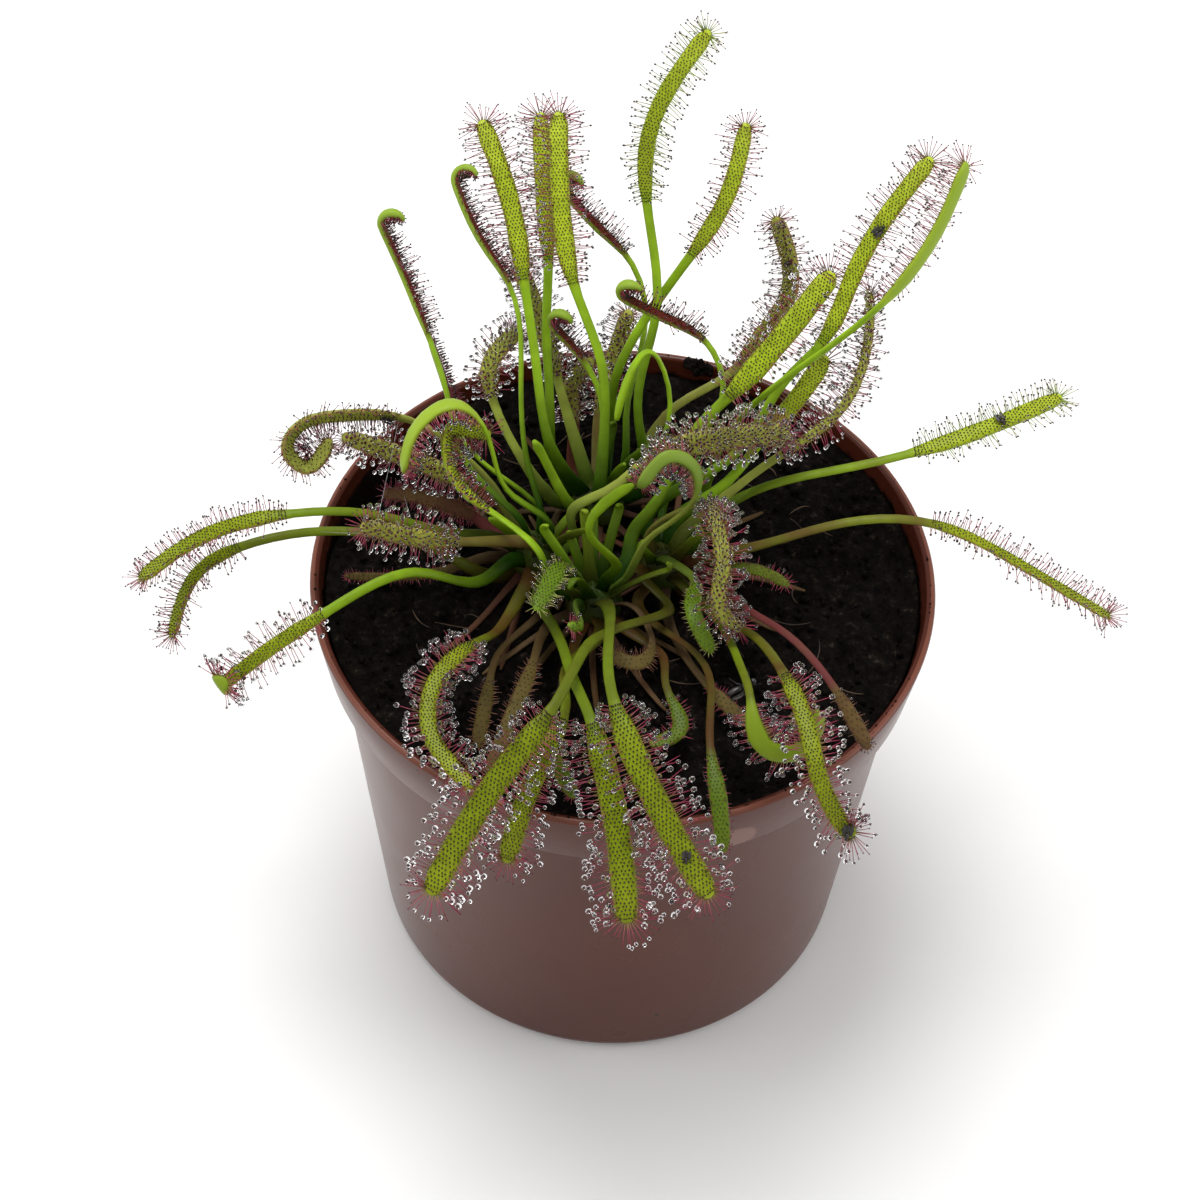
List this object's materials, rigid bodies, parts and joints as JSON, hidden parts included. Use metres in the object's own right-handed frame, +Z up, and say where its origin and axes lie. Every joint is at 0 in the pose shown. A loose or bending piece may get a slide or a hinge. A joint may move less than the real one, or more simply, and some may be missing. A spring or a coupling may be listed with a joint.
{
  "type": "potted sundew",
  "caption": "Carnivorous sundew with narrow, dewy, tentacled leaves that arch, curl and stand in a small round terracotta-brown nursery pot.",
  "frame": {"origin": "middle of the flat pad under the pot, on the surface that the pot stands on", "axes": "+Z up along the pot's axis, -Y to the front, from where the picture looks down, +X to the right of that view"},
  "size_m": [0.1423, 0.1105, 0.1402],
  "materials": {
    "pot": "semi-gloss moulded plastic, terracotta brown",
    "soil": "damp crumbly peat, near black",
    "leaf_green": "satin leaf with a wet sheen of mucilage",
    "leaf_broad": "satin leaf with a wet sheen of mucilage",
    "leaf_young": "satin young leaf, edge on",
    "leaf_dewy": "satin leaf under dense drops",
    "leaf_small": "dull satin small leaf",
    "leaf_old": "dry, withered leaf"
  },
  "bodies": {
    "root": {"pot": "pot", "soil": "soil", "crown_left": "leaf_green", "crown_front": "leaf_green", "crown_right": "leaf_green", "crown_back": "leaf_green", "hook_far_left": "leaf_young", "arch_left": "leaf_green", "hook_left": "leaf_young", "tall_left": "leaf_green", "tall_mid": "leaf_green", "tall_mid_back": "leaf_green", "hook_mid": "leaf_young", "hook_mid_low": "leaf_young", "hook_right": "leaf_young", "tallest": "leaf_green", "tall_right": "leaf_green", "back_bend": "leaf_dewy", "broad_right": "leaf_broad", "long_right_high": "leaf_green", "short_right": "leaf_green", "back_turned_right": "leaf_green", "dewy_mid": "leaf_dewy", "dewy_mid_bent": "leaf_dewy", "dewy_right": "leaf_dewy", "dewy_down": "leaf_dewy", "curl_front_right": "leaf_green", "front_right_low": "leaf_green", "thin_red_arc": "leaf_old", "long_right": "leaf_green", "long_right_low": "leaf_green", "long_left": "leaf_green", "long_left_low": "leaf_green", "reddish_left": "leaf_dewy", "over_rim_left": "leaf_green", "spiral_left": "leaf_dewy", "behind_arch": "leaf_dewy", "upright_small_left": "leaf_young", "curled_left": "leaf_green", "mid_left_short": "leaf_dewy", "dewy_back": "leaf_dewy", "young_loop": "leaf_young", "young_s": "leaf_young", "front_left": "leaf_broad", "front_mid": "leaf_broad", "front_mid_right": "leaf_broad", "front_left_under": "leaf_green", "bent_front_left": "leaf_green", "old_front_left": "leaf_old", "old_front": "leaf_old", "small_front": "leaf_small", "young_dewy": "leaf_small", "small_right": "leaf_small", "wavy_old": "leaf_old", "low_front_right": "leaf_small", "old_front_right": "leaf_small", "low_right": "leaf_small", "old_pink_left": "leaf_old", "dewy_far_back": "leaf_dewy", "dewy_back_left": "leaf_dewy"}
  },
  "joints": []
}
